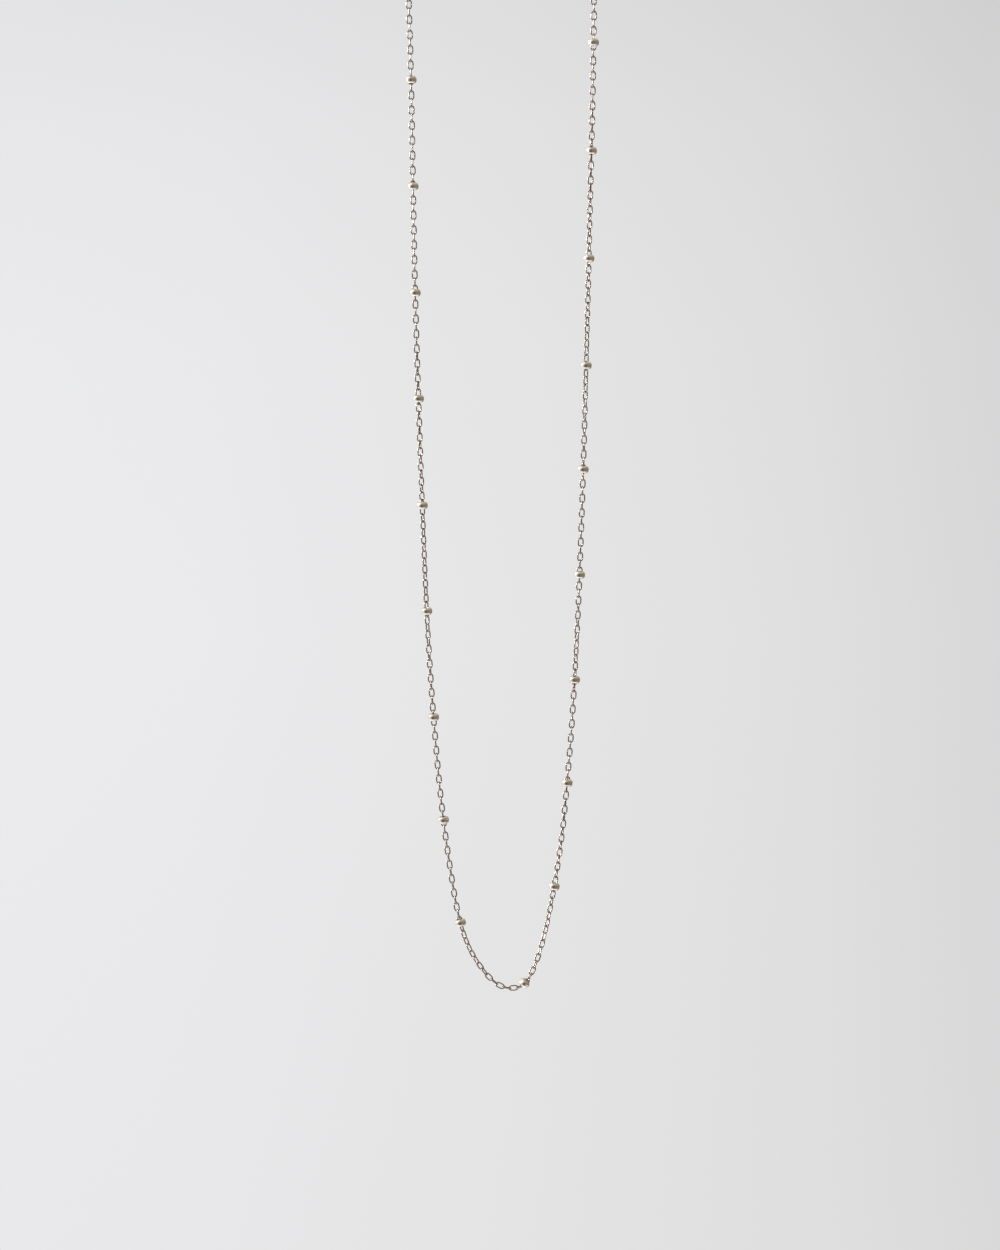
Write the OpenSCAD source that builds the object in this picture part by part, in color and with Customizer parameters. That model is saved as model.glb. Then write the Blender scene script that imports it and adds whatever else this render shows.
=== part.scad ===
// A station necklace: a fine cable chain with small drilled beads at even steps, closed by a ring clasp.
// Lengths are in millimetres and angles in degrees. The closed loop hangs in the XZ plane. The origin lies
// under the clasp, where the necklace hangs, and the chain's lowest point is about 213 mm below it.

/* [Chain] */
// Width of a chain link, and so of the chain
link_w = 1.19; // [1.12:0.01:1.4]
// Length of a chain link
link_l = 2.02; // [1.8:0.02:2.4]
// Thickness of a chain link's wire
link_wire = 0.27; // [0.2:0.01:0.3]

/* [Beads] */
// Number of beads
bead_count = 21; // [3:2:21]
// Distance between two beads' centres along the chain
station = 21; // [12:0.5:21.5]
// How far the middle bead sits past the chain's middle
bead_shift = 3.6; // [0:0.1:4]
// Outer diameter of a bead
bead_d = 2.2; // [2:0.05:4]
// Height of a bead along the chain
bead_h = 1.5; // [1.3:0.05:3]
// Radius of a bead's rounded edges
bead_edge = 0.6; // [0.2:0.05:0.64]
// Gap between the chain and the wall of a bead's bore
bead_gap = 0.08; // [0.05:0.01:0.15]

/* [Clasp] */
// Outer diameter of the clasp's ring
clasp_d = 5.8; // [5:0.1:8]
// Thickness of the clasp's ring
clasp_wire = 1; // [0.8:0.05:1.2]
// Outer diameter of the clasp's eye
eye_d = 2; // [1.8:0.1:2.6]
// Thickness of the eye's wire
eye_wire = 0.45; // [0.35:0.01:0.5]
// Outer diameter of the ring that the clasp closes on
end_ring_d = 2.8; // [2.6:0.1:4]
// Thickness of that ring's wire
end_ring_wire = 0.5; // [0.35:0.01:0.5]

/* [Hanging] */
// Distance between the tops of the chain's two strands
strand_gap = 36.2; // [35:0.1:44]
// Drop from the tops of the strands to the chain's lowest point
strand_drop = 197; // [190:0.5:240]
// Rise of the chain from the tops of its two strands to the middle of the clasp
arch_rise = 18.2; // [12:0.2:26]
// Gap between two linked pieces where they bear on each other
link_gap = 0.05; // [0.03:0.01:0.1]

/* [Hidden] */

// Points of the chain's hanging route, from the top of the left strand round the bottom to the top of the
// right strand: how far to the right of the clasp, and how far below the tops of the strands. The sizes of
// the strands stretch it.
hang = [
    [-18.1, 0], [-17.95, 8], [-17.77, 16], [-17.45, 36], [-17.07, 57], [-16.47, 78], [-15.61, 103],
    [-14.67, 125], [-13.34, 145], [-11.72, 162], [-10.07, 174], [-8.87, 181], [-7.87, 185],
    [-6.36, 189], [-4.12, 192.7], [-1.5, 195.65], [0.3, 196.75], [2.2, 197], [4.05, 196.6],
    [5.4, 195.2], [6.27, 193.45], [7.27, 190.95], [8.58, 186.4], [10.22, 178.4], [11.87, 168],
    [13.35, 153], [14.9, 129], [15.92, 103], [16.58, 80], [17.08, 60], [17.55, 37], [17.96, 18],
    [18.08, 8], [18.1, 0]
];
// How far each bead sits from its even place, towards the top of the right strand
slips = [
    0.1, 0.2, 0, -0.1, -0.2, 0, 0.1, 0.4, 0.2, 0.3, 0,
    -0.2, -0.1, -0.3, -0.3, -0.3, -0.7, -0.6, -0.5, -0.4, -0.2
];

// Steps of the hidden arch over the strands, and steps of the curve between two of the route's points
arch_steps = 7;
curve_steps = 8;
// A ring of the tube stands for each of these lengths and turns of its route between two beads
ring_length = 10;
ring_turn = 24;
tube_sides = 8;
// Straight stretch of the chain past each end of a bead
bead_margin = 0.3;
round_fn = 48;
wire_fn = 24;

function last(list) = list[len(list) - 1];
function bead_name(i) = str("bead_", i < 10 ? "0" : "", i);
function unit(v) = v / norm(v);
function heading(v) = atan2(v[1], v[0]);

half_gap = strand_gap / 2;
across_scale = half_gap / last(hang)[0];
drop_scale = strand_drop / max([for (p = hang) p[1]]);
clasp_z = clasp_d / 2;
strand_top = clasp_z - arch_rise;

// The linked pieces bear on each other along the X axis at the clasp's height
eye_x = -(clasp_d + eye_d) / 2 + eye_wire;
eye_bearing = eye_x - (eye_d - eye_wire) / 2;
end_ring_x = clasp_d / 2 - clasp_wire - link_gap - end_ring_wire + end_ring_d / 2;
end_ring_bearing = end_ring_x + (end_ring_d - end_ring_wire) / 2;
// From the middle of the wire that an end link holds to the link's own middle
function link_reach(wire) = link_l / 2 - link_wire - link_gap - wire / 2;

// The hidden arch is a part of an ellipse from the top of a strand up to the wire that its end link holds
function arch_end(bearing) = acos(abs(bearing) / half_gap);
function arch_point(side, bearing, a) =
    [side * half_gap * cos(a), strand_top + arch_rise * sin(a) / sin(arch_end(bearing))];
function arch(side, bearing) =
    [for (k = [1:arch_steps]) arch_point(side, bearing, arch_end(bearing) * k / arch_steps)];
function reversed(list) = [for (i = [len(list) - 1:-1:0]) list[i]];

path = concat(
    reversed(arch(-1, eye_bearing)),
    [for (p = hang) [p[0] * across_scale, strand_top - p[1] * drop_scale]],
    arch(1, end_ring_bearing)
);

// A smooth curve through the path's points: the slope at each point is that of the parabola through it and
// its two neighbours, and each stretch between two points is a cubic with those slopes at its ends
function slope(i) =
    let (
        n = len(path) - 1,
        before = i == 0 ? path[0] : path[i - 1],
        after = i == n ? path[n] : path[i + 1],
        a = norm(path[i] - before),
        b = norm(after - path[i])
    )
    i == 0 ? (after - path[0]) / b
    : i == n ? (path[n] - before) / a
    : ((path[i] - before) * b / a + (after - path[i]) * a / b) / (a + b);
function curve_point(i, t) =
    let (d = norm(path[i + 1] - path[i]))
    path[i] * (1 + 2 * t) * pow(1 - t, 2) + path[i + 1] * (3 - 2 * t) * t * t
    + d * slope(i) * t * pow(1 - t, 2) + d * slope(i + 1) * t * t * (t - 1);
curve = concat(
    [for (i = [0:len(path) - 2]) for (k = [0:curve_steps - 1]) curve_point(i, k / curve_steps)],
    [last(path)]
);

// Length of the curve up to each of its points, and the measure by which rings are set: a length or a turn
run = [for (i = 0, s = 0; i < len(curve);
    s = s + (i + 1 < len(curve) ? norm(curve[i + 1] - curve[i]) : 0), i = i + 1) s];
function turn(i) =
    let (a = heading(curve[i] - curve[i - 1]), b = heading(curve[i + 1] - curve[i]))
    abs(((b - a + 540) % 360) - 180);
pace = [for (i = 0, m = 0; i < len(curve);
    m = m + (i + 1 < len(curve) ? norm(curve[i + 1] - curve[i]) / ring_length : 0)
        + (i > 0 && i + 1 < len(curve) ? turn(i) / ring_turn : 0), i = i + 1) m];
run_x = [for (i = [0:len(curve) - 1]) [run[i], curve[i][0]]];
run_z = [for (i = [0:len(curve) - 1]) [run[i], curve[i][1]]];
run_pace = [for (i = [0:len(curve) - 1]) [run[i], pace[i]]];
pace_run = [for (i = [0:len(curve) - 1]) [pace[i], run[i]]];
function at(s) = [lookup(s, run_x), lookup(s, run_z)];

// The chain runs between the two end links, and each bead is on a straight stretch of it
left_reach = link_reach(eye_wire);
right_reach = link_reach(end_ring_wire);
chain_start = left_reach + link_l / 2 + link_gap;
chain_end = last(run) - right_reach - link_l / 2 - link_gap;
middle_bead = last(run) / 2 + bead_shift;
bead_half = bead_h / 2 + bead_margin;
function bead_slip(i) = slips[i - 1 + (len(slips) - bead_count) / 2];
function bead_run(i) = middle_bead + bead_slip(i) + (i - (bead_count + 1) / 2) * station;

// Places of the tube's rings along its run: at both ends of each bead's stretch, and between two such
// stretches one for each length or turn
function between(a, b) =
    let (m = lookup(a, run_pace), n = max(2, round(lookup(b, run_pace) - m)),
        step = (lookup(b, run_pace) - m) / n)
    [for (k = [1:n - 1]) lookup(m + k * step, pace_run)];
function stretch_from(i) = i == 0 ? chain_start : bead_run(i) + bead_half;
function stretch_to(i) = i == bead_count ? chain_end : bead_run(i + 1) - bead_half;
ring_runs = [for (i = [0:bead_count])
    for (s = concat([stretch_from(i)], between(stretch_from(i), stretch_to(i)), [stretch_to(i)])) s];
ring_points = [for (s = ring_runs) at(s)];

// Direction of the tube's axis at ring i: halfway between the stretches before and after it
function ring_heading(i) =
    let (
        n = len(ring_points) - 1,
        before = unit(ring_points[max(i, 1)] - ring_points[max(i, 1) - 1]),
        after = unit(ring_points[min(i + 1, n)] - ring_points[min(i, n - 1)])
    )
    unit(before + after);

module chain() {
    rings = len(ring_points);
    vertices = [for (i = [0:rings - 1])
        let (p = ring_points[i], d = ring_heading(i))
        for (k = [0:tube_sides - 1])
            let (a = 360 * (k + 0.5) / tube_sides, across = link_w / 2 * cos(a), out = link_w / 2 * sin(a))
            [p[0] - d[1] * across, out, p[1] + d[0] * across]];
    first = [for (k = [0:tube_sides - 1]) k];
    final = [for (k = [tube_sides - 1:-1:0]) (rings - 1) * tube_sides + k];
    sides = [for (i = [0:rings - 2]) for (k = [0:tube_sides - 1])
        let (a = i * tube_sides + k, b = i * tube_sides + (k + 1) % tube_sides)
        [a, a + tube_sides, b + tube_sides, b]];
    color("silver") polyhedron(points = vertices, faces = concat([first], sides, [final]));
}

// Puts a piece whose own axis is Z at point p of the XZ plane, with that axis along direction d
module along(p, d) {
    translate([p[0], 0, p[1]]) rotate([0, 90 - heading(d), 0]) children();
}

module bead(i) {
    low = at(bead_run(i) - bead_half);
    high = at(bead_run(i) + bead_half);
    along((low + high) / 2, high - low)
        color("gainsboro") rotate_extrude($fn = round_fn)
            difference() {
                bead_outline();
                square([link_w + 2 * bead_gap, 2 * bead_h], center = true);
            }
}

// Half of a bead's section through its axis
module bead_outline() {
    core = bead_d / 2 - bead_edge;
    translate([0, -bead_h / 2]) square([core, bead_h]);
    translate([0, bead_edge - bead_h / 2]) square([bead_d / 2, bead_h - 2 * bead_edge]);
    for (side = [-1, 1])
        translate([core, side * (bead_h / 2 - bead_edge)]) circle(r = bead_edge, $fn = round_fn);
}

// A closed ring of round wire, with Z as its axis
module wire_ring(outer_d, wire) {
    rotate_extrude($fn = round_fn) translate([(outer_d - wire) / 2, 0]) circle(d = wire, $fn = wire_fn);
}

// A chain link in its own frame: long along Z, and flat in the XZ plane
module link() {
    bend = (link_w - link_wire) / 2;
    straight = link_l - link_w;
    rotate([90, 0, 0]) {
        for (side = [-1, 1]) {
            translate([0, side * straight / 2, 0]) rotate([0, 0, side * 90 - 90])
                rotate_extrude(angle = 180, $fn = round_fn)
                    translate([bend, 0]) circle(d = link_wire, $fn = wire_fn);
            translate([side * bend, 0, 0]) rotate([90, 0, 0])
                cylinder(d = link_wire, h = straight, center = true, $fn = wire_fn);
        }
    }
}

// An end link holds the wire that crosses the XZ plane at the bearing, and turns with the arch
module end_link(side, bearing, reach, quarter_turn) {
    a = arch_end(bearing);
    step = arch_point(side, bearing, a - 1) - arch_point(side, bearing, a);
    along([bearing, clasp_z] + reach * unit(step), step)
        color("silver") rotate([0, 0, quarter_turn ? 90 : 0]) link();
}

module end_link_left() {
    end_link(-1, eye_bearing, left_reach, true);
}

module end_link_right() {
    end_link(1, end_ring_bearing, right_reach, false);
}

module end_ring() {
    color("silver") translate([end_ring_x, 0, clasp_z]) wire_ring(end_ring_d, end_ring_wire);
}

module clasp() {
    color("silver") translate([0, 0, clasp_z]) rotate([90, 0, 0]) {
        wire_ring(clasp_d, clasp_wire);
        translate([eye_x, 0, 0]) wire_ring(eye_d, eye_wire);
    }
}

chain();
for (i = [1:bead_count])
    bead(i);
end_link_left();
end_link_right();
end_ring();
clasp();
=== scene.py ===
import math

import bpy
import numpy as np
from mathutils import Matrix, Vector


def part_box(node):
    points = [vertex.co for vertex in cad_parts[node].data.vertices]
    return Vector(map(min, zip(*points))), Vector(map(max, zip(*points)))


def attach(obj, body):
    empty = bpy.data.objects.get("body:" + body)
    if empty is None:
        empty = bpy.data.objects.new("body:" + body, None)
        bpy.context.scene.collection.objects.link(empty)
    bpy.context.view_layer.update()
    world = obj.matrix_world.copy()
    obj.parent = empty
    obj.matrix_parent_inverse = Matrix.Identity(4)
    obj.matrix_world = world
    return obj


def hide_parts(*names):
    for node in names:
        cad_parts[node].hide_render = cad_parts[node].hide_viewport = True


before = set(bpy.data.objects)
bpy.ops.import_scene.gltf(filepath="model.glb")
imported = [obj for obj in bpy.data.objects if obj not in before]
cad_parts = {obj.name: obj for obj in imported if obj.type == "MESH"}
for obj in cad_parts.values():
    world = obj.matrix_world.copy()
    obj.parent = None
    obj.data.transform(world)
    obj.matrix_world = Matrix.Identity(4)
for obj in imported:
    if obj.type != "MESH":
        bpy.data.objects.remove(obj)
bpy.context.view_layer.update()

# Sizes of a link, in metres. The bend is how far the rounding of each end reaches along it.
LINK_WIDTH = 0.00119
LINK_LENGTH = 0.00202
LINK_WIRE = 0.00027
LINK_BEND = 0.00055

# Sizes of a bead, in metres. The edge is the radius of its rims, the gap is the chain's room in its bore,
# and the lip is the small rounding where the bore opens.
BEAD_WIDTH = 0.0022
BEAD_HEIGHT = 0.0015
BEAD_EDGE = 0.0006
BEAD_GAP = 0.00008
BEAD_BORE = LINK_WIDTH + 2 * BEAD_GAP
BEAD_LIP = 0.00005

# How thick the wires are that the end links hold, and how far the arch rises over the strands, in metres
EYE_WIRE = 0.00045
END_RING_WIRE = 0.0005
ARCH_RISE = 0.0182

# The chain's hanging route, from the top of the left strand round the bottom to the top of the right strand:
# how far to the right of the clasp, and how far below the tops of the strands, in metres
ROUTE = [
    (-0.0181, 0.0), (-0.01795, 0.008), (-0.01777, 0.016), (-0.01745, 0.036), (-0.01707, 0.057),
    (-0.01647, 0.078), (-0.01561, 0.103), (-0.01467, 0.125), (-0.01334, 0.145), (-0.01172, 0.162),
    (-0.01007, 0.174), (-0.00887, 0.181), (-0.00787, 0.185), (-0.00636, 0.189), (-0.00412, 0.1927),
    (-0.0015, 0.19565), (0.0003, 0.19675), (0.0022, 0.197), (0.00405, 0.1966), (0.0054, 0.1952),
    (0.00627, 0.19345), (0.00727, 0.19095), (0.00858, 0.1864), (0.01022, 0.1784), (0.01187, 0.168),
    (0.01335, 0.153), (0.0149, 0.129), (0.01592, 0.103), (0.01658, 0.08), (0.01708, 0.06),
    (0.01755, 0.037), (0.01796, 0.018), (0.01808, 0.008), (0.0181, 0.0),
]

# Link numbers and where those links lie along the route, in metres: taut on the strands, slack at the bottom.
# Link 0 and the last one are the end links.
LINK_PLACES = [
    (0, 0.00046), (16, 0.02315), (28, 0.0408), (40, 0.05843), (64, 0.09347), (88, 0.12847), (112, 0.16345),
    (131, 0.19105), (139, 0.20265), (146, 0.21275), (154, 0.22425), (161, 0.23395), (169, 0.24577),
    (175, 0.2544), (190, 0.2761), (200, 0.2906), (220, 0.31973), (240, 0.34885), (260, 0.37812),
    (290, 0.42182), (310, 0.45136),
]

# How far the chain is twisted along its route: metres, and degrees from even links facing the front
TWIST = [
    (0.0, 90), (0.02, 4), (0.091, 3), (0.095, -10), (0.103, -18), (0.109, -10), (0.117, -20),
    (0.127, -30), (0.143, -32), (0.15, -58), (0.156, -75), (0.175, -90), (0.187, -90), (0.195, -80),
    (0.207, -80), (0.211, -45), (0.219, -25), (0.224, 5), (0.229, -8), (0.235, -15), (0.243, -48),
    (0.251, -70), (0.263, -72), (0.275, -90), (0.287, -92), (0.291, -72), (0.299, -45), (0.303, -22),
    (0.311, 3), (0.327, 5), (0.335, -10), (0.343, -15), (0.351, -42), (0.363, -52), (0.371, -68),
    (0.383, -64), (0.391, -80), (0.399, -74), (0.409, -90), (0.425, -90), (0.4517, -180),
]

# How far the later end of each link tips forward from the route: metres, and degrees
TIP = [
    (0.0, 0), (0.03, 0), (0.0325, 1.5), (0.0584, 1.5), (0.065, 2.4), (0.0765, 2.4), (0.079, -1.5),
    (0.092, -1.5), (0.103, 1), (0.115, 1), (0.15, 0), (0.3, 0), (0.325, 2), (0.402, 2.2), (0.4045, 0.8),
    (0.417, 0.8), (0.42, 0), (0.4517, 0),
]

# Number of points in each half of the arch and each stretch of the route, and of places tried for a bead
ARCH_STEPS = 7
CURVE_STEPS = 8
ROUTE_SAMPLES = 20001

# Number of faces round a link's end and its wire, over a bead's rim and lip, and round the bead
BEND_STEPS = 11
WIRE_SIDES = 12
BEAD_STEPS = 14
LIP_STEPS = 4
BEAD_SIDES = 64

# From the front of the necklace to its back
BACK = np.array([0.0, 1.0, 0.0])

# The camera looks slightly down at the middle of the photo's frame. Its aim and distance are in metres, and
# its lens is in millimetres.
CAMERA_AIM = Vector((-0.00027, 0.0, -0.139))
CAMERA_DISTANCE = 0.6922
CAMERA_PITCH = math.radians(5.0)
CAMERA_LENS = 100.0

# The finishes: colour, roughness, and how strongly fine handling marks show
SILVERS = {
    # The chain's colour is the beads' silver made darker and warmer. It is painted shade that stands in for
    # the dark look of its thin wires.
    "chain_silver_painted_dark": ((0.46, 0.385, 0.34), 0.17, 0.03),
    "bead_silver": ((0.95, 0.93, 0.9), 0.12, 0.1),
    "clasp_silver": ((0.8, 0.78, 0.75), 0.15, 0.15),
}

# How fine the patches in a finish are, the share of the colour from one level of them to another, and the
# shares of the roughness between which they range
PATCH_SCALE = 700.0
PATCH_DETAIL = 3.0
PATCH_TONES = [(0.3, 0.86), (0.65, 1.0)]
PATCH_ROUGHNESS = (0.7, 1.4)

# How fine the handling marks are, and how deep, in metres
MARK_SCALE = 5000.0
MARK_DETAIL = 2.0
MARK_DEPTH = 0.00001

# What the metal mirrors from high up, from below the horizon, and from the floor, by bearing: degrees from
# the left towards the back, or towards the camera when negative
ABOVE = [
    (-180, (0.35, 0.29, 0.2)), (-100, (0.35, 0.29, 0.2)), (-85, (0.34, 0.28, 0.2)),
    (-60, (0.45, 0.41, 0.34)), (-35, (0.65, 0.61, 0.54)), (-20, (0.75, 0.72, 0.66)),
    (90, (0.8, 0.76, 0.68)), (100, (0.65, 0.56, 0.42)), (135, (0.6, 0.5, 0.36)),
    (150, (0.35, 0.29, 0.2)), (180, (0.35, 0.29, 0.2)),
]
BELOW = [
    (-180, (0.26, 0.21, 0.16)), (-105, (0.21, 0.17, 0.13)), (-85, (0.1, 0.08, 0.06)),
    (-60, (0.14, 0.12, 0.1)), (-38, (0.48, 0.44, 0.38)), (-15, (0.85, 0.81, 0.73)),
    (60, (0.95, 0.88, 0.78)), (85, (0.5, 0.42, 0.32)), (97, (0.22, 0.18, 0.14)),
    (180, (0.26, 0.21, 0.16)),
]
FLOOR = [
    (-180, (0.75, 0.71, 0.66)), (-110, (0.5, 0.47, 0.44)), (-80, (0.45, 0.43, 0.4)),
    (-50, (0.85, 0.83, 0.79)), (-20, (1.15, 1.12, 1.07)), (60, (1.1, 1.07, 1.02)),
    (95, (0.75, 0.7, 0.63)), (180, (0.75, 0.71, 0.66)),
]
# The heights over which each gives way to the next: the sine of the angle over the horizon
HORIZON = (0.0, 0.3)
FLOOR_EDGE = (-0.4, -0.85)

# Areas that lie over it: the bearings and then the heights at which each starts, is full, starts to fade
# and ends, and its colour. No direction reaches a height past 1 or -1.
ALL_ROUND = (-181, -180, 180, 181)
CEILING = (ALL_ROUND, (0.45, 0.95, 2.0, 3.0), (0.52, 0.48, 0.41))
FLOOR_BELOW = (ALL_ROUND, (-3.0, -2.0, -0.97, -0.8), (1.2, 1.16, 1.1))
SOFT_LIGHT = ((-75, -45, 5, 60), (0.08, 0.3, 0.85, 1.0), (1.1, 1.07, 1.0))
WINDOW = ((-11, -7, 4, 8), (0.01, 0.05, 0.11, 0.5), (48.0, 49.0, 50.0))

# The backdrop's radius, floor, top and the sweep between its floor and its wall, in metres, and its faces
BACKDROP_RADIUS = 3.0
BACKDROP_FLOOR = -0.9
BACKDROP_TOP = 3.1
BACKDROP_SWEEP = 1.2
SWEEP_STEPS = 12
BACKDROP_SIDES = 96

# Its fall of light: the stretch from left to right and the stretch from low to high, in metres, each with
# the colours or levels along it
BACKDROP_ACROSS = (-0.5, 0.5)
BACKDROP_COLOURS = [
    (0, (0.833, 0.833, 0.848)), (0.2, (0.824, 0.824, 0.838)), (0.5, (0.79, 0.79, 0.797)),
    (0.8, (0.743, 0.742, 0.742)), (1, (0.688, 0.685, 0.685)),
]
BACKDROP_UP = (-0.85, 0.3)
BACKDROP_LEVELS = [(0, 0.98), (0.4, 1.0), (0.65, 0.99), (0.85, 0.96), (1, 0.91)]


def arch(side, bearing, strand_top, half_gap):
    """Points of the hidden arch, from just above a strand up to the wire that its end link holds."""
    end = math.acos(abs(bearing) / half_gap)
    angles = [end * k / ARCH_STEPS for k in range(1, ARCH_STEPS + 1)]
    return [
        (side * half_gap * math.cos(a), strand_top + ARCH_RISE * math.sin(a) / math.sin(end))
        for a in angles
    ]


def route_path():
    """The whole route in the XZ plane, from the clasp's eye round to the end ring."""
    clasp_low, clasp_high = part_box("clasp")
    ring_low, ring_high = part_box("end_ring")
    strand_top = (clasp_low.z + clasp_high.z) / 2 - ARCH_RISE
    half_gap = ROUTE[-1][0]
    left = arch(-1, clasp_low.x + EYE_WIRE / 2, strand_top, half_gap)
    right = arch(1, ring_high.x - END_RING_WIRE / 2, strand_top, half_gap)
    strands = [(x, strand_top - drop) for x, drop in ROUTE]
    return np.array(left[::-1] + strands + right)


def smooth_curve(path):
    """A dense polyline on a cubic through the path's points, with a parabola's slope at each of them."""
    steps = np.linalg.norm(np.diff(path, axis=0), axis=1)
    slopes = np.empty_like(path)
    slopes[0] = (path[1] - path[0]) / steps[0]
    slopes[-1] = (path[-1] - path[-2]) / steps[-1]
    before, after = steps[:-1, None], steps[1:, None]
    rise_before, rise_after = path[1:-1] - path[:-2], path[2:] - path[1:-1]
    slopes[1:-1] = (rise_before * after / before + rise_after * before / after) / (before + after)
    t = (np.arange(CURVE_STEPS) / CURVE_STEPS)[:, None]
    stretches = [
        a * (1 + 2 * t) * (1 - t) ** 2
        + b * (3 - 2 * t) * t**2
        + step * (slope_a * t * (1 - t) ** 2 + slope_b * t**2 * (t - 1))
        for a, b, step, slope_a, slope_b in zip(path[:-1], path[1:], steps, slopes[:-1], slopes[1:])
    ]
    return np.vstack(stretches + [path[-1:]])


class Route:
    """The chain's route as a function of the length along it."""

    def __init__(self):
        self.points = smooth_curve(route_path())
        lengths = np.linalg.norm(np.diff(self.points, axis=0), axis=1)
        self.run = np.concatenate([[0.0], np.cumsum(lengths)])

    def at(self, place):
        """The point at a length along the route."""
        x = np.interp(place, self.run, self.points[:, 0])
        z = np.interp(place, self.run, self.points[:, 1])
        return np.array([x, 0.0, z])

    def heading(self, place, reach):
        """The direction of the route about a place, from as far before it as after it."""
        step = self.at(place + reach) - self.at(place - reach)
        return step / np.linalg.norm(step)

    def nearest(self, point):
        """The length along the route at which it passes closest to a point."""
        places = np.linspace(0.0, self.run[-1], ROUTE_SAMPLES)
        x_away = np.interp(places, self.run, self.points[:, 0]) - point[0]
        z_away = np.interp(places, self.run, self.points[:, 1]) - point[2]
        return places[np.argmin(np.hypot(x_away, z_away))]


def link_ring():
    """One closed link, long along X and flat in the XY plane: a row of vertices for each cut of its wire."""
    half_width, half_length = (LINK_WIDTH - LINK_WIRE) / 2, (LINK_LENGTH - LINK_WIRE) / 2
    centres, outward = [], []
    for side in (1, -1):
        for k in range(BEND_STEPS + 1):
            a = math.pi * (k / BEND_STEPS - 0.5)
            along, across = side * math.cos(a), side * math.sin(a)
            centres.append([along * LINK_BEND + side * (half_length - LINK_BEND), across * half_width, 0.0])
            outward.append([along * half_width, across * LINK_BEND, 0.0])
    centres, outward = np.array(centres)[:, None, :], np.array(outward)[:, None, :]
    outward /= np.linalg.norm(outward, axis=-1, keepdims=True)
    around = (np.arange(WIRE_SIDES) * 2 * math.pi / WIRE_SIDES)[None, :, None]
    up = np.array([0.0, 0.0, 1.0])
    return centres + LINK_WIRE / 2 * (outward * np.cos(around) + up * np.sin(around))


def bead_ring():
    """A drilled bead with its axis along X: a row of vertices for each turn of its section round it."""
    core, half_flat = BEAD_WIDTH / 2 - BEAD_EDGE, BEAD_HEIGHT / 2 - BEAD_EDGE
    bore = BEAD_BORE / 2

    def edge_angle(radius):
        return math.acos((radius - core) / BEAD_EDGE)

    angles = np.linspace(edge_angle(bore + BEAD_LIP), 0.0, BEAD_STEPS + 1)
    edge = [(half_flat + BEAD_EDGE * math.sin(a), core + BEAD_EDGE * math.cos(a)) for a in angles]
    corner = np.array([half_flat + BEAD_EDGE * math.sin(edge_angle(bore)), bore])
    inner, outer = corner - [BEAD_LIP, 0.0], np.array(edge[0])
    t = (np.arange(LIP_STEPS) / LIP_STEPS)[:, None]
    lip = inner * (1 - t) ** 2 + corner * 2 * t * (1 - t) + outer * t**2
    half = np.vstack([lip, edge])
    section = np.vstack([half, half[::-1] * [-1.0, 1.0]])
    along, out = section[None, :, 0], section[None, :, 1]
    turns = (np.arange(BEAD_SIDES) * 2 * math.pi / BEAD_SIDES)[:, None]
    return np.stack(np.broadcast_arrays(along, out * np.cos(turns), out * np.sin(turns)), axis=-1)


def ring_faces(rows, sides, closed=True):
    """Quads between rows that are closed loops of vertices, and from the last row to the first if closed."""
    row, side = np.meshgrid(np.arange(rows if closed else rows - 1), np.arange(sides), indexing="ij")
    next_row, next_side = (row + 1) % rows, (side + 1) % sides
    corners = [
        row * sides + side,
        next_row * sides + side,
        next_row * sides + next_side,
        row * sides + next_side,
    ]
    return np.stack(corners, axis=-1).reshape(-1, 4)


def mesh_object(name, vertices, faces, material):
    """A new smooth mesh in the scene."""
    mesh = bpy.data.meshes.new(name)
    mesh.from_pydata(vertices.tolist(), [], faces.tolist())
    mesh.polygons.foreach_set("use_smooth", [True] * len(mesh.polygons))
    mesh.materials.append(material)
    mesh.update()
    piece = bpy.data.objects.new(name, mesh)
    bpy.context.scene.collection.objects.link(piece)
    return piece


def rides_root(piece, node):
    """Lets a piece stand for a CAD node of the root body."""
    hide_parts(node)
    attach(piece, "root")


def bead(name, route, material):
    """A smooth round bead in the place of its CAD node, with its bore along the chain."""
    low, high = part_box(name)
    centre = np.array((low + high) / 2)
    along = route.heading(route.nearest(centre), BEAD_HEIGHT / 2)
    ring = bead_ring()
    vertices = ring.reshape(-1, 3) @ np.stack([along, np.cross(along, BACK), BACK]) + centre
    piece = mesh_object(name + "_round", vertices, ring_faces(*ring.shape[:2])[:, ::-1], material)
    rides_root(piece, name)


def table_value(table, at):
    """A value between the rows of a table."""
    places, values = zip(*table)
    return np.interp(at, places, values)


def link_axes(route, place, turn):
    """A link's own axes at a place, after a turn in degrees: along it, across it and out of its plane."""
    tip = math.radians(table_value(TIP, place))
    angle = math.radians(table_value(TWIST, place) + turn)
    heading = route.heading(place, LINK_LENGTH / 2)
    along = heading * math.cos(tip) - BACK * math.sin(tip)
    back = BACK * math.cos(tip) + heading * math.sin(tip)
    across = np.cross(along, back) * math.cos(angle) + back * math.sin(angle)
    return np.stack([along, across, np.cross(along, across)])


def chain_links(route, material):
    """Every link of the chain but the two end links, each a quarter turn from the next, as one mesh."""
    ring = link_ring()
    quads = ring_faces(*ring.shape[:2])
    ring = ring.reshape(-1, 3)
    vertices, faces = [], []
    for number in range(1, LINK_PLACES[-1][0]):
        place = table_value(LINK_PLACES, number)
        faces.append(quads + len(vertices) * len(ring))
        vertices.append(ring @ link_axes(route, place, 90 * (number % 2)) + route.at(place))
    piece = mesh_object("chain_links", np.vstack(vertices), np.vstack(faces), material)
    rides_root(piece, "chain")


def node_tree(owner):
    """The emptied node tree of a material or world."""
    owner.use_nodes = True
    owner.node_tree.nodes.clear()
    return owner.node_tree


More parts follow.
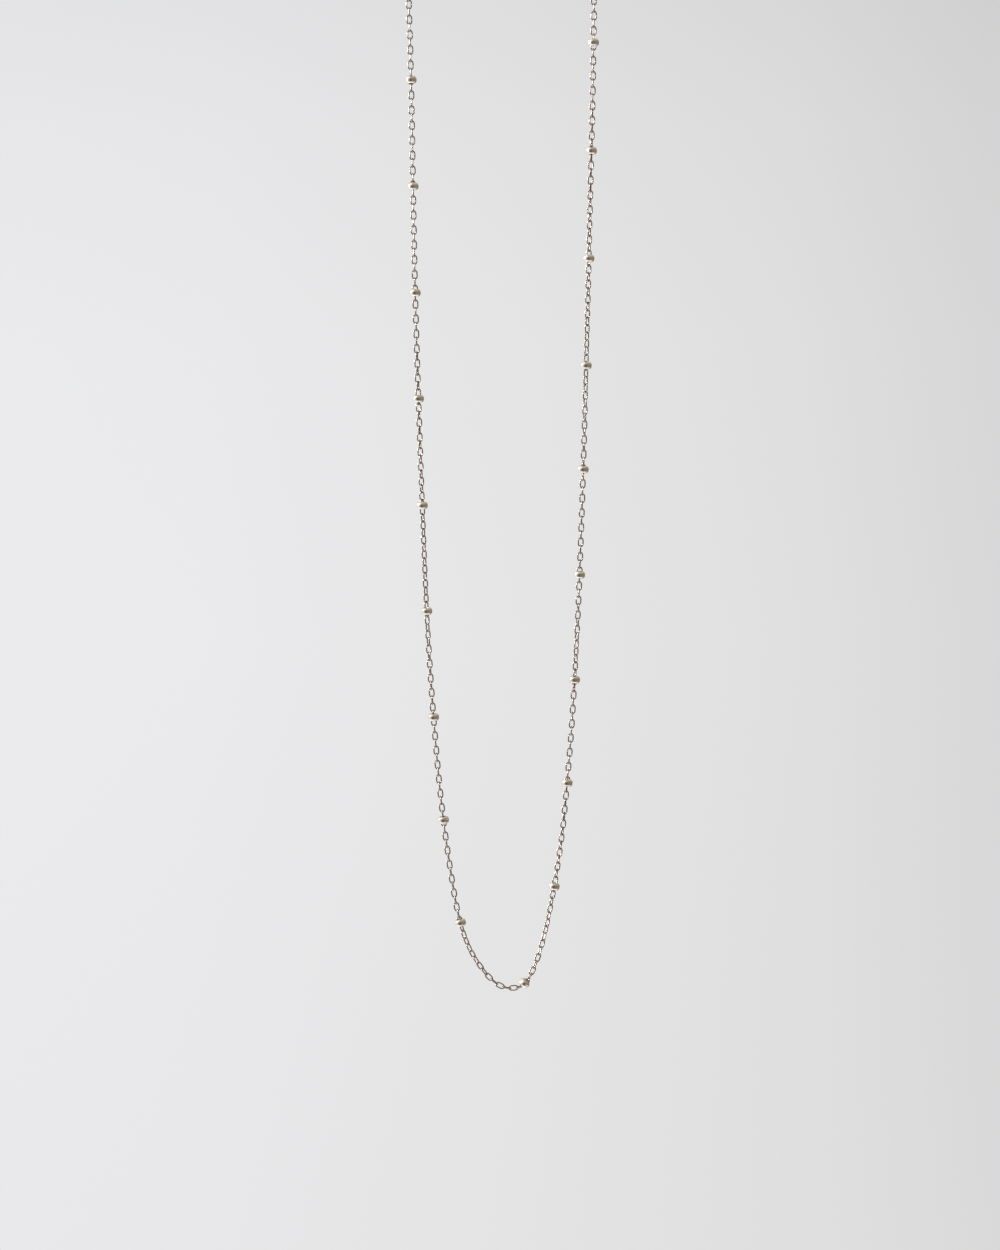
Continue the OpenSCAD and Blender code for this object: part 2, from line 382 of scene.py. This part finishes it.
def placed(tree, value, low, high, smooth=False):
    """Where a value lies between low and high, from 0 to 1."""
    part = tree.nodes.new("ShaderNodeMapRange")
    part.interpolation_type = "SMOOTHSTEP" if smooth else "LINEAR"
    part.inputs["From Min"].default_value = low
    part.inputs["From Max"].default_value = high
    tree.links.new(value, part.inputs["Value"])
    return part.outputs["Result"]


def ramp(tree, value, stops):
    """Colours by a value from 0 to 1."""
    colours = tree.nodes.new("ShaderNodeValToRGB")
    while len(colours.color_ramp.elements) < len(stops):
        colours.color_ramp.elements.new(0.5)
    for element, (position, colour) in zip(colours.color_ramp.elements, stops):
        element.position = position
        element.color = (*colour, 1.0)
    tree.links.new(value, colours.inputs["Fac"])
    return colours.outputs["Color"]


def noise(tree, place, scale, detail):
    """A fine random pattern over a surface."""
    pattern = tree.nodes.new("ShaderNodeTexNoise")
    pattern.inputs["Scale"].default_value = scale
    pattern.inputs["Detail"].default_value = detail
    tree.links.new(place, pattern.inputs["Vector"])
    return pattern.outputs["Fac"]


def silver(name, colour, roughness, marking):
    """Polished silver, a little uneven in tone and gloss, with fine handling marks."""
    material = bpy.data.materials.new(name)
    tree = node_tree(material)
    nodes, links = tree.nodes, tree.links
    output = nodes.new("ShaderNodeOutputMaterial")
    shader = nodes.new("ShaderNodeBsdfPrincipled")
    shader.inputs["Metallic"].default_value = 1.0
    links.new(shader.outputs["BSDF"], output.inputs["Surface"])

    place = nodes.new("ShaderNodeTexCoord").outputs["Object"]
    patches = noise(tree, place, PATCH_SCALE, PATCH_DETAIL)
    tones = [(position, [c * tone for c in colour]) for position, tone in PATCH_TONES]
    links.new(ramp(tree, patches, tones), shader.inputs["Base Color"])

    gloss = nodes.new("ShaderNodeMapRange")
    gloss.inputs["To Min"].default_value = roughness * PATCH_ROUGHNESS[0]
    gloss.inputs["To Max"].default_value = roughness * PATCH_ROUGHNESS[1]
    links.new(patches, gloss.inputs["Value"])
    links.new(gloss.outputs["Result"], shader.inputs["Roughness"])

    bump = nodes.new("ShaderNodeBump")
    bump.inputs["Strength"].default_value = marking
    bump.inputs["Distance"].default_value = MARK_DEPTH
    links.new(noise(tree, place, MARK_SCALE, MARK_DETAIL), bump.inputs["Height"])
    links.new(bump.outputs["Normal"], shader.inputs["Normal"])
    return material


def dress(name, material):
    """Gives a CAD node its finish."""
    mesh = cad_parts[name].data
    mesh.materials.clear()
    mesh.materials.append(material)


def backdrop_glow():
    """A plain pale glow that falls off to the right and towards the top."""
    material = bpy.data.materials.new("pale_backdrop")
    tree = node_tree(material)
    nodes, links = tree.nodes, tree.links
    output = nodes.new("ShaderNodeOutputMaterial")
    glow = nodes.new("ShaderNodeEmission")
    links.new(glow.outputs["Emission"], output.inputs["Surface"])

    place = nodes.new("ShaderNodeNewGeometry")
    split = nodes.new("ShaderNodeSeparateXYZ")
    links.new(place.outputs["Position"], split.inputs["Vector"])
    across = placed(tree, split.outputs["X"], *BACKDROP_ACROSS)
    up = placed(tree, split.outputs["Z"], *BACKDROP_UP)
    levels = [(position, (level,) * 3) for position, level in BACKDROP_LEVELS]
    shade = nodes.new("ShaderNodeVectorMath")
    shade.operation = "MULTIPLY"
    links.new(ramp(tree, across, BACKDROP_COLOURS), shade.inputs[0])
    links.new(ramp(tree, up, levels), shade.inputs[1])
    links.new(shade.outputs["Vector"], glow.inputs["Color"])
    return material


def pale_backdrop():
    """A pale floor that sweeps up into a pale wall all round, under a flat top."""
    profile = [(0.0, BACKDROP_FLOOR)]
    for k in range(SWEEP_STEPS + 1):
        a = math.pi / 2 * k / SWEEP_STEPS
        out, up = BACKDROP_SWEEP * (1 - math.sin(a)), BACKDROP_SWEEP * (1 - math.cos(a))
        profile.append((BACKDROP_RADIUS - out, BACKDROP_FLOOR + up))
    profile += [(BACKDROP_RADIUS, BACKDROP_TOP), (0.0, BACKDROP_TOP)]
    turns = np.arange(BACKDROP_SIDES) * 2 * math.pi / BACKDROP_SIDES
    rows = np.array([[(r * math.cos(t), r * math.sin(t), z) for t in turns] for r, z in profile])
    faces = ring_faces(*rows.shape[:2], closed=False)[:, ::-1]
    backdrop = mesh_object("backdrop", rows.reshape(-1, 3), faces, backdrop_glow())
    for sight in ("visible_glossy", "visible_diffuse", "visible_shadow", "visible_transmission"):
        setattr(backdrop, sight, False)


def calculated(tree, operation, a, b):
    """A sum, product or the like of two values in a node tree."""
    node = tree.nodes.new("ShaderNodeMath")
    node.operation = operation
    tree.links.new(a, node.inputs[0])
    tree.links.new(b, node.inputs[1])
    return node.outputs["Value"]


def band(tree, value, limits):
    """1 within a band of values and 0 outside, with soft sides."""
    start, full, fading, end = limits
    rise = placed(tree, value, start, full, smooth=True)
    fall = placed(tree, value, end, fading, smooth=True)
    return calculated(tree, "MULTIPLY", rise, fall)


def mixed(tree, factor, colour_a, colour_b):
    """Colour a where the factor is 0, and colour b where it is 1."""
    mix = tree.nodes.new("ShaderNodeMix")
    mix.data_type = "RGBA"
    sockets = [socket for socket in mix.inputs if socket.enabled]
    for source, socket in zip((factor, colour_a, colour_b), sockets):
        tree.links.new(source, socket)
    return next(socket for socket in mix.outputs if socket.enabled)


def turned(degrees):
    """A bearing as a share of the full turn, from 0 to 1."""
    return degrees / 360 + 0.5


def looked_towards(tree):
    """The bearing, from 0 to 1, and the height of each direction in the surroundings."""
    place = tree.nodes.new("ShaderNodeTexCoord")
    split = tree.nodes.new("ShaderNodeSeparateXYZ")
    tree.links.new(place.outputs["Generated"], split.inputs["Vector"])
    leftward = tree.nodes.new("ShaderNodeMath")
    leftward.operation = "MULTIPLY"
    leftward.inputs[1].default_value = -1.0
    tree.links.new(split.outputs["X"], leftward.inputs[0])
    angle = calculated(tree, "ARCTAN2", split.outputs["Y"], leftward.outputs["Value"])
    return placed(tree, angle, -math.pi, math.pi), split.outputs["Z"]


def studio_surroundings():
    """A warm room with a pale floor and ceiling, and on the left a broad soft light and a narrow window."""
    world = bpy.data.worlds.new("studio")
    bpy.context.scene.world = world
    tree = node_tree(world)
    output = tree.nodes.new("ShaderNodeOutputWorld")
    background = tree.nodes.new("ShaderNodeBackground")
    tree.links.new(background.outputs["Background"], output.inputs["Surface"])

    bearing, height = looked_towards(tree)
    above, below, floor = (
        ramp(tree, bearing, [(turned(degrees), colour) for degrees, colour in stops])
        for stops in (ABOVE, BELOW, FLOOR)
    )
    lower = mixed(tree, placed(tree, height, *FLOOR_EDGE, smooth=True), below, floor)
    colour = mixed(tree, placed(tree, height, *HORIZON, smooth=True), lower, above)
    for bearings, heights, light in (CEILING, FLOOR_BELOW, SOFT_LIGHT, WINDOW):
        across = band(tree, bearing, [turned(degrees) for degrees in bearings])
        area = tree.nodes.new("ShaderNodeRGB")
        area.outputs["Color"].default_value = (*light, 1.0)
        covered = calculated(tree, "MULTIPLY", across, band(tree, height, heights))
        colour = mixed(tree, covered, colour, area.outputs["Color"])
    tree.links.new(colour, background.inputs["Color"])


def photo_camera():
    """The camera at the photo's angle and framing."""
    data = bpy.data.cameras.new("camera")
    data.lens = CAMERA_LENS
    camera = bpy.data.objects.new("camera", data)
    backward = Vector((0.0, -math.cos(CAMERA_PITCH), math.sin(CAMERA_PITCH)))
    camera.location = CAMERA_AIM + backward * CAMERA_DISTANCE
    camera.rotation_mode = "QUATERNION"
    camera.rotation_quaternion = (-backward).to_track_quat("-Z", "Y")
    bpy.context.scene.collection.objects.link(camera)
    bpy.context.scene.camera = camera


photo_camera()
silvers = {name: silver(name, *finish) for name, finish in SILVERS.items()}
route = Route()
chain_links(route, silvers["chain_silver_painted_dark"])
for name in list(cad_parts):
    if name.startswith("bead_"):
        bead(name, route, silvers["bead_silver"])
for name in ("end_link_left", "end_link_right"):
    dress(name, silvers["chain_silver_painted_dark"])
for name in ("clasp", "end_ring"):
    dress(name, silvers["clasp_silver"])

pale_backdrop()
studio_surroundings()
bpy.context.scene.view_settings.view_transform = "Standard"
